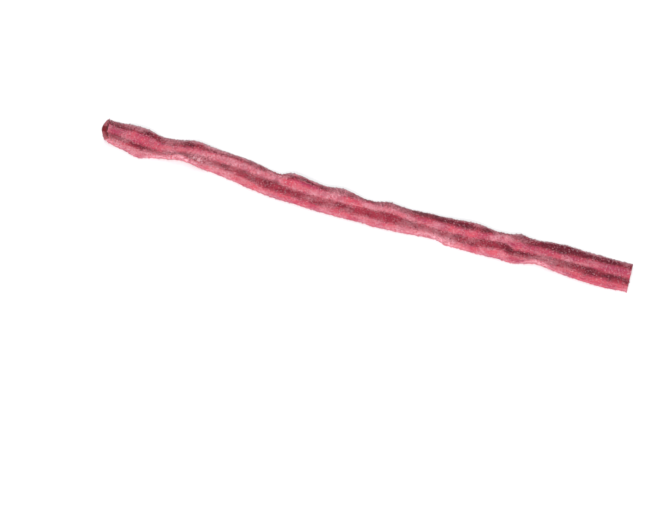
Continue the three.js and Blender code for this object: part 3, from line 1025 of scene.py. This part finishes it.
def cut_material(name, inner, smeared, candy):
    material, tree, shader, place = new_material(name)
    smears = noise_texture(tree, place, size_mm=0.8, detail=3, name="knife_smears")
    cut = mix_colours(tree, smears, inner, smeared, "cut_colour")
    dragged = mean_of(tree, attribute(tree, "lightness"), smears, "ragged_drag")
    drag = ramp(tree, dragged, ((0.4, 0), (0.7, 1)), "drag_share")
    colour = mix_colours(tree, drag, cut, CUT_PALE, "cut_with_drag")
    dullness = ramp(tree, smears, ((0.3, 0.22), (0.7, 0.4)), "cut_gloss")
    fine = noise_texture(tree, place, size_mm=0.3, detail=2, name="cut_grain")
    bump = add_bump(tree, fine, strength=0.4, depth_mm=0.04, name="cut_bump")
    wire_shader(tree, shader, colour, dullness, bump, CUT_SHINE)
    let_light_in(shader, weight=0.2, glow=GLOW[candy])
    return material


cuts = {"strand_" + name: cut_material(name + "_cut", *colours) for name, colours in CUT_COLOURS_AND_SHADE.items()}
print("cuts:", [m.name for m in cuts.values()])

# %% [markdown]
# The face of a cut
#
# The slant of the knife bends a cut, so one flat face can't close a strand. The cut is a small grid of its
# own, from the top of the profile down to the underside, with the skin's last points as its rim. Each point
# also gets a lightness, which tells the cut's material where the paler candy was drawn.

# %% Points and faces of a cut
RING = 2 * (PROFILE_POINTS + SIDE_POINTS)
PALE_FAR_STARTS = 0.15
PALE_NEAR_STARTS = 0.1
PALE_RAMP = 0.25
PALE_BELOW = 0.75
PALE_RAMP_DOWN = 0.4


def cap_rows(first, inner):
    """Point numbers of a cut end, row by row from the top down; first is the rim's first point."""
    rows = [first + np.arange(PROFILE_POINTS)]
    between = np.arange(PROFILE_POINTS - 2)
    for r in range(SIDE_POINTS):
        far = first + RING - 1 - r
        near = first + PROFILE_POINTS + r
        rows.append(np.concatenate([[far], inner + r * len(between) + between, [near]]))
    under = first + PROFILE_POINTS + SIDE_POINTS
    rows.append(under + np.arange(PROFILE_POINTS)[::-1])
    return np.array(rows)


def cut_lightness(u, height):
    """Paler candy lies over the far part of the slanted cut, and over the near part's lower half."""
    far_part = smooth((u - PALE_FAR_STARTS) / PALE_RAMP)
    near_part = smooth((-u - PALE_NEAR_STARTS) / PALE_RAMP) * smooth((PALE_BELOW - height) / PALE_RAMP_DOWN)
    return far_part + near_part


def cap_points(grid, station):
    """The points inside a cut end, between its rim's points, and how light the candy is at each."""
    height = grid["height"][station]
    top = height[:PROFILE_POINTS]
    down = np.linspace(0, 1, SIDE_POINTS + 2)[1:-1, None]
    heights = top * (1 - down) - top * down
    u = np.broadcast_to(grid["u"][station, :PROFILE_POINTS], heights.shape)
    points = body_points(np.full(heights.shape, float(stations[station])), u, heights) - belt_middle
    points[..., 2] = np.maximum(points[..., 2], COAT)
    return points[:, 1:-1].reshape(-1, 3), cut_lightness(u, heights)[:, 1:-1].ravel()


def cap_faces(rows, flip):
    """Faces between the rows of a cut, flipped for a cut that faces the other way."""
    quads = np.stack([rows[:-1, :-1], rows[1:, :-1], rows[1:, 1:], rows[:-1, 1:]], -1).reshape(-1, 4)
    return quads[:, ::-1] if flip else quads


print("a cut has", SIDE_POINTS * (PROFILE_POINTS - 2), "points inside its rim")

# %% [markdown]
# From grid to mesh
#
# Each grid becomes a closed mesh: faces between the stations make its skin, and a cut closes each end. The
# cover of sugar, the lightness and the smear are stored on the mesh, point by point, and the candy material
# reads them there. That is simpler than painting an image and unwrapping the belt for it.

# %% Strand meshes


def skin_faces():
    """Faces all round a strand, between each station and the next."""
    k = np.arange(RING)
    after = (k + 1) % RING
    first = np.arange(len(stations) - 1)[:, None] * RING
    return np.stack([first + k, first + RING + k, first + RING + after, first + after], -1).reshape(-1, 4)


def store_values(mesh, grid, start_light, end_count):
    """Keeps the grid's values on the mesh. Inside the cuts they are 0, but for the lightness at the tip."""
    for stored in ("sugar_cover", "lightness", "smear"):
        at_start = start_light if stored == "lightness" else np.zeros(len(start_light))
        values = np.concatenate([grid[stored].ravel(), at_start, np.zeros(end_count)])
        mesh.attributes.new(stored, "FLOAT", "POINT").data.foreach_set("value", values)


def strand_mesh(name, slot):
    grid = grids[name]
    count = len(stations)
    start, start_light = cap_points(grid, 0)
    end, _ = cap_points(grid, -1)
    skin = skin_faces()
    start_cap = cap_faces(cap_rows(0, count * RING), False)
    end_cap = cap_faces(cap_rows((count - 1) * RING, count * RING + len(start)), True)
    points = np.concatenate([grid["points"].reshape(-1, 3), start, end])
    faces = np.concatenate([skin, start_cap, end_cap])
    mesh = bpy.data.meshes.new("candy_" + name)
    mesh.from_pydata((points * MM).tolist(), [], faces.tolist())
    mesh.materials.append(candies[slot])
    mesh.materials.append(cuts[name])
    mesh.polygons.foreach_set("material_index", (np.arange(len(faces)) >= len(skin)).astype(int))
    mesh.polygons.foreach_set("use_smooth", np.ones(len(faces), dtype=bool))
    store_values(mesh, grid, start_light, len(end))
    mesh.update()
    return mesh


def make_strand(name, slot):
    strand = new_object("candy_" + name, strand_mesh(name, slot))
    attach(strand, "root")
    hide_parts(name)
    low, high = (np.array(corner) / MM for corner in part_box(name))
    points = grids[name]["points"]
    inside = np.concatenate([points.min(axis=(0, 1)) - low, high - points.max(axis=(0, 1))])
    print(name, "is inside its solid by", np.round(inside, 2))


for name, _, _, slot in STRANDS:
    make_strand(name, slot)

# %% [markdown]
# Sugar grains
#
# Sour sugar is coarse: blunt little crystals up to two thirds of a millimetre across, with finer ones
# between them. Thousands of them make the sparkle and the rough outline, so they are real geometry.
# Every grain starts as a block, gets its own size, turn and dents from seeded draws, and sinks partly
# into the candy. Grains of one kind are joined into one mesh, which is light to draw and easy to keep
# track of.

# %% Grain shapes
BLOCK = np.array([(x, y, z) for x in (-1, 1) for y in (-1, 1) for z in (-1, 1)], float) / 2
BLOCK_FACES = np.array([(0, 1, 3, 2), (4, 6, 7, 5), (0, 4, 5, 1), (2, 3, 7, 6), (0, 2, 6, 4), (1, 5, 7, 3)])
CORNER_CUT = 0.3


def blunt_block():
    """A block with its eight corners cut off: three points for each corner, and a small face between them."""
    points, corner_faces = [], []
    for corner in BLOCK:
        first = len(points)
        for axis in range(3):
            point = corner.copy()
            point[axis] *= 1 - 2 * CORNER_CUT
            points.append(point)
        turned = (first, first + 1, first + 2) if np.prod(corner) > 0 else (first, first + 2, first + 1)
        corner_faces.append(turned)
    return np.array(points), corner_faces


def blunt_faces(points):
    """The six eight-sided faces: the points that lie on each side, in order round it."""
    faces = []
    for axis in range(3):
        for side in (-0.5, 0.5):
            on_side = np.nonzero(np.isclose(points[:, axis], side))[0]
            a, b = points[on_side][:, (axis + 1) % 3], points[on_side][:, (axis + 2) % 3]
            order = np.argsort(np.arctan2(b, a))
            faces.append(tuple(on_side[order] if side > 0 else on_side[order][::-1]))
    return faces


blunt_points, blunt_corners = blunt_block()
BLUNT_FACES = blunt_faces(blunt_points) + blunt_corners
print("a blunt grain has", len(blunt_points), "points and", len(BLUNT_FACES), "faces")

# %% [markdown]
# Scattering them
#
# Grains stick where the coat is thick, on the top, along the edges and below. A face of the strands is
# drawn with a chance that grows with its area and its cover, and the grain sits at a random point of it.
# The cut ends stay bare. A grain that would reach through the table is lifted, and one that would stand
# past the belt's box by more than a little slack is left out, so that the dressed belt keeps the size of
# its frame.

# %% Places on the strands
BOX_SLACK = np.array([0.3, 0.3, 0.1])
BARE_CHANCE = 0.3
SPREAD = 0.4


def all_faces():
    """For each face of the strands: four corners, outward direction, chance of a grain, and s and u."""
    parts = []
    for grid in grids.values():
        p = grid["points"]
        q = np.roll(p, -1, axis=1)
        quads = np.stack([p[:-1], p[1:], q[1:], q[:-1]], axis=2).reshape(-1, 4, 3)
        outward = grid["outward"][:-1].reshape(-1, 3)
        chance = (np.minimum(grid["sugar_cover"], 1) + BARE_CHANCE) * grid["open"]
        parts.append((quads, outward, *(values[:-1].ravel() for values in (chance, grid["s"], grid["u"]))))
    return [np.concatenate(columns) for columns in zip(*parts)]


def draw_places(count, draw):
    """Random places, the outward direction there, s, u, and the strand whose candy stains the grain."""
    chance = quad_area * quad_chance
    chosen = draw.choice(len(quads), size=count, p=chance / chance.sum())
    a, b = draw.random((count, 1)), draw.random((count, 1))
    c = quads[chosen]
    points = (c[:, 0] * (1 - a) + c[:, 1] * a) * (1 - b) + (c[:, 3] * (1 - a) + c[:, 2] * a) * b
    s, u = quad_s[chosen], quad_u[chosen]
    spread_u = u + draw.normal(0, SPREAD, count) / half_width(s)
    strand_number = sum((spread_u > colour_line(name, s)).astype(int) for name in SEAMS)
    return points, quad_outward[chosen], s, u, strand_number


quads, quad_outward, quad_chance, quad_s, quad_u = all_faces()
quad_area = np.linalg.norm(np.cross(quads[:, 1] - quads[:, 0], quads[:, 3] - quads[:, 0]), axis=1)
print("the coat covers", round(float((quad_area * (quad_chance > 0)).sum())), "square mm")

# %% [markdown]
# Grain colour
#
# A grain on candy is never plain white: it takes up colour from the jelly that it sits in. So each grain
# gets a mix of the candy and the frost on its side of the colour line, give or take a little, and on the
# far rim a greyer sugar. The mix is stored on the mesh. The sugar material reads it, makes it milky in
# places, and adds the gloss of crystal and some light let through.

# %% Sugar material
RIM_SUGAR = (0.34, 0.21, 0.235)
RIM_SUGAR_SHARE = 0.7
RIM_SUGAR_STARTS = 0.75
RIM_SUGAR_RAMP = 0.2
MILKY_SUGAR = (0.85, 0.6, 0.64)
SUGAR_SHINE = 0.3


def sugar_material():
    material, tree, shader, place = new_material("sugar")
    stored = attribute(tree, "grain_colour", "Color")
    cloud = noise_texture(tree, place, size_mm=0.3, detail=2, name="cloudiness")
    milky = ramp(tree, cloud, ((0.4, 0), (0.8, 0.15)), "milky_share")
    colour = mix_colours(tree, milky, stored, MILKY_SUGAR, "clouded_colour")
    dullness = ramp(tree, cloud, ((0.3, 0.35), (0.7, 0.55)), "facet_dullness")
    scratches = noise_texture(tree, place, size_mm=0.08, detail=2, name="scratches")
    bump = add_bump(tree, scratches, strength=0.3, depth_mm=0.02, name="facet_bump")
    wire_shader(tree, shader, colour, dullness, bump, SUGAR_SHINE)
    let_light_in(shader, weight=0.2, glow=GLOW["pink_candy"])
    return material


sugar = sugar_material()


def by_strand(colours, strand_number):
    """The colour that each grain's strand has in a table of colours."""
    return np.array([colours[slot] for _, _, _, slot in STRANDS])[strand_number]


def grain_colours(s, u, strand_number, whiteness):
    """Clear grains show the candy under them, white ones its frost; those on the far rim are greyer."""
    light = candy_lightness(s, u)[:, None]
    clear = by_strand(DEEP, strand_number) * (1 - light) + by_strand(LIGHT, strand_number) * light
    grain = by_strand(FROST, strand_number) * whiteness + clear * (1 - whiteness)
    on_rim = RIM_SUGAR_SHARE * smooth((u - RIM_SUGAR_STARTS) / RIM_SUGAR_RAMP)[:, None]
    return grain * (1 - on_rim) + np.array(RIM_SUGAR) * on_rim


white_grain = grain_colours(np.array([9]), np.array([0]), np.array([0]), np.array([[1.0]]))
print("a white grain on pink candy", white_grain)

# %% [markdown]
# The grains as meshes
#
# There are three kinds of grain, from coarse to fine. Only the coarse ones are large enough to show blunt
# corners, so the others stay plain blocks. Each kind is made from arrays in one go.

# %% Grain meshes
# shares of a grain's size: each of its sides, the dents in it, and how far it stands out
STRETCH = (0.65, 1.0)
DENT = 0.09
STANDS_OUT = (0.05, 0.3)


def turns(count, draw):
    """A random turn for each grain, as a rotation matrix from a random quaternion."""
    q = draw.normal(size=(count, 4))
    w, x, y, z = (q / np.linalg.norm(q, axis=1, keepdims=True)).T
    rows = [
        [1 - 2 * (y * y + z * z), 2 * (x * y - z * w), 2 * (x * z + y * w)],
        [2 * (x * y + z * w), 1 - 2 * (x * x + z * z), 2 * (y * z - x * w)],
        [2 * (x * z - y * w), 2 * (y * z + x * w), 1 - 2 * (x * x + y * y)],
    ]
    return np.array(rows).transpose(2, 0, 1)


def grain_points(count, sizes, shape, draw):
    """The points of all grains that fit in the belt's box, and the s, u and strand of each."""
    places, outward, *where = draw_places(count, draw)
    size = draw.uniform(*sizes, (count, 1))
    stretch = draw.uniform(*STRETCH, (count, 1, 3)) * size[:, None, :]
    dents = draw.uniform(-DENT, DENT, (count, len(shape), 3))
    grains = np.einsum("gij,gpj->gpi", turns(count, draw), (shape + dents) * stretch)
    grains += (places + outward * size * draw.uniform(*STANDS_OUT, (count, 1)))[:, None, :]
    grains[..., 2] += np.maximum(-grains[..., 2].min(axis=1), 0)[:, None]
    fits = (grains.min(axis=1) > low_corner - BOX_SLACK) & (grains.max(axis=1) < high_corner + BOX_SLACK)
    keep = fits.all(axis=1)
    return grains[keep], [values[keep] for values in where]


def make_grains(name, count, sizes, white, shape, faces, seed):
    draw = np.random.default_rng(seed)
    grains, where = grain_points(count, sizes, shape, draw)
    colours = grain_colours(*where, draw.uniform(*white, (len(grains), 1)))
    first = np.arange(len(grains)) * len(shape)
    mesh = bpy.data.meshes.new(name)
    joined = [(corner + start).tolist() for start in first for corner in faces]
    mesh.from_pydata((grains.reshape(-1, 3) * MM).tolist(), [], joined)
    mesh.materials.append(sugar)
    per_point = np.repeat(np.concatenate([colours, np.ones((len(grains), 1))], axis=1), len(shape), axis=0)
    mesh.attributes.new("grain_colour", "FLOAT_COLOR", "POINT").data.foreach_set("color", per_point.ravel())
    mesh.update()
    piece = new_object(name, mesh)
    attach(piece, "root")
    print(name, len(grains), "grains,", sum(len(face) - 2 for face in faces) * len(grains), "triangles")


BLUNT = (blunt_points, [np.array(face) for face in BLUNT_FACES])
PLAIN = (BLOCK, list(BLOCK_FACES))
# name, how many, smallest and largest size in millimetres, least and most whiteness, shape, seed
GRAINS = [
    ("sugar_coarse", 3000, (0.4, 0.65), (0.0, 0.6), *BLUNT, 11),
    ("sugar_medium", 13000, (0.24, 0.4), (0.0, 0.62), *PLAIN, 12),
    ("sugar_fine", 16000, (0.14, 0.24), (0.0, 0.62), *PLAIN, 13),
]
for grain_values in GRAINS:
    make_grains(*grain_values)
